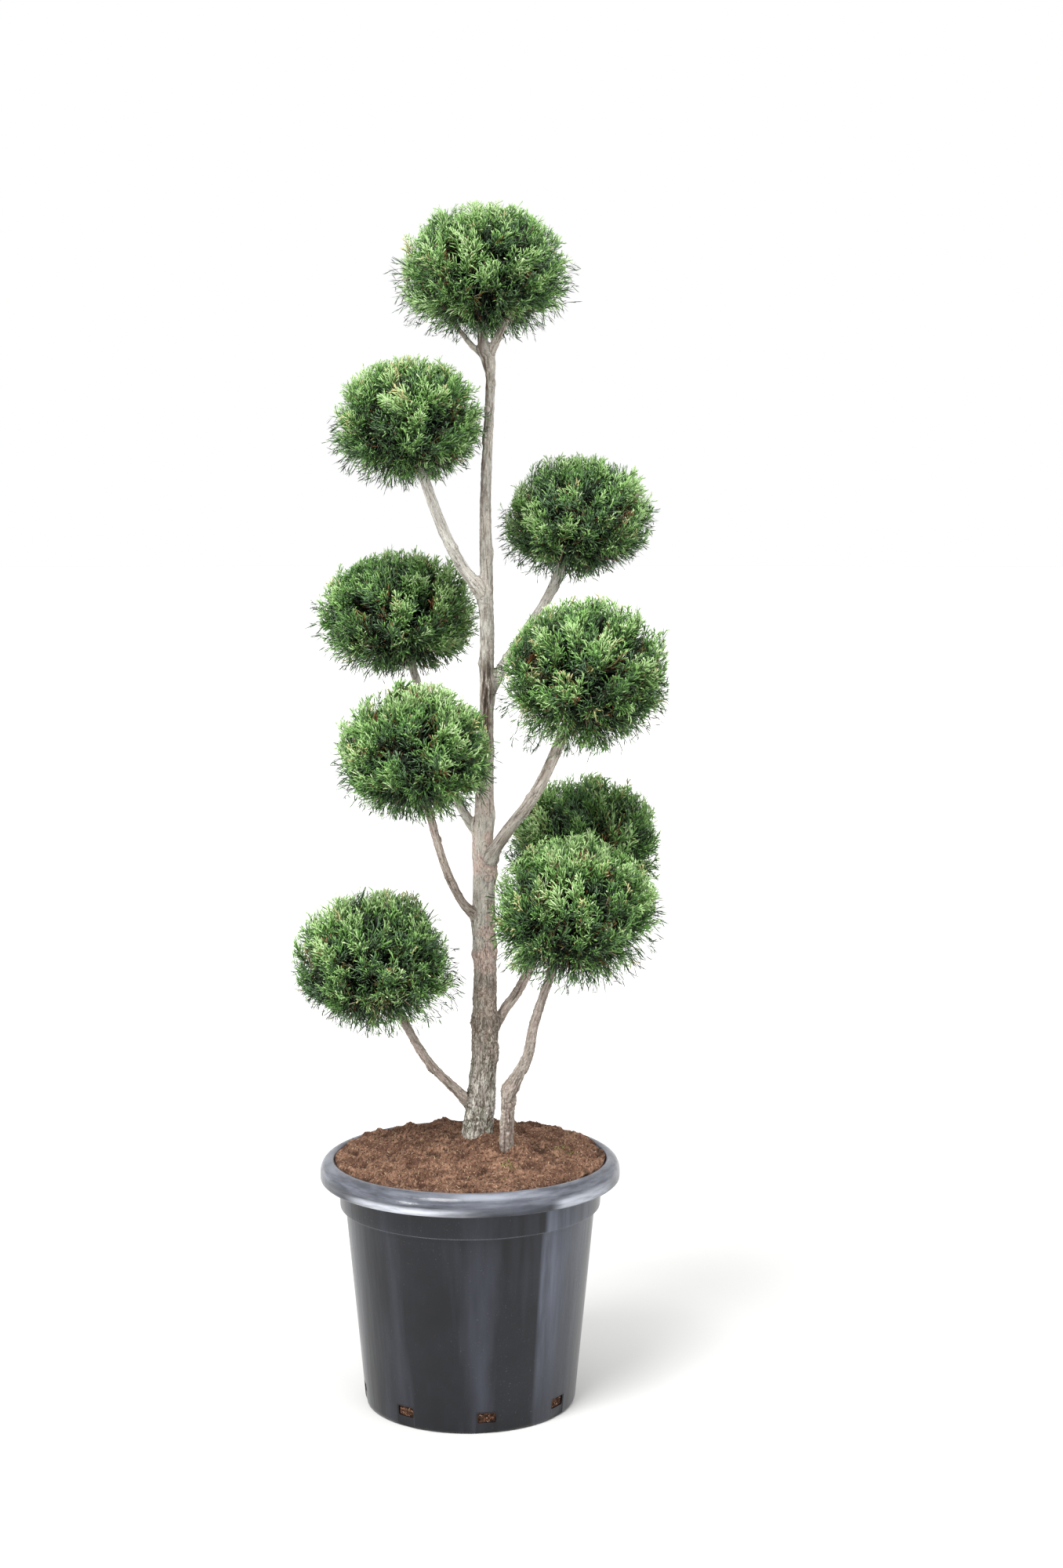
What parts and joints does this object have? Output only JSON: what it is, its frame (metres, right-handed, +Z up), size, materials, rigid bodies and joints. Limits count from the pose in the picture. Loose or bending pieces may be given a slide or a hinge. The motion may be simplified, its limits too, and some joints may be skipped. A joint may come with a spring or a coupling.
{
  "type": "potted leyland cypress topiary",
  "caption": "Tall potted conifer clipped into pom-poms at the ends of bare boughs round one upright trunk, in a round black nursery container filled with peat.",
  "frame": {"origin": "centre of the container's flat underside, at ground level", "axes": "+Z up along the trunk, -Y towards the viewer of the picture, +X to that viewer's right"},
  "size_m": [0.5006, 0.4484, 1.5989],
  "materials": {
    "pot": "semi-gloss charcoal nursery plastic with soft vertical reflections",
    "peat": "moist fibrous peat",
    "bark": "grey fissured bark with greenish lichen at the foot",
    "bough_bark": "smooth silvery grey bark",
    "foliage": "fine fresh green scale-leaf sprays"
  },
  "bodies": {
    "root": {"pot": "pot", "peat": "peat", "trunk": "bark", "side_stem": "bark", "bough_bottom_left": "bough_bark", "bough_low_right_back": "bough_bark", "bough_low_left": "bough_bark", "bough_mid_right": "bough_bark", "bough_mid_left": "bough_bark", "bough_upper_right": "bough_bark", "bough_upper_left": "bough_bark", "fork_right": "bough_bark", "fork_left": "bough_bark", "foliage_top": "foliage", "foliage_upper_left": "foliage", "foliage_upper_right": "foliage", "foliage_mid_left": "foliage", "foliage_mid_right": "foliage", "foliage_low_left": "foliage", "foliage_low_right_back": "foliage", "foliage_low_right_front": "foliage", "foliage_bottom_left": "foliage"}
  },
  "joints": []
}
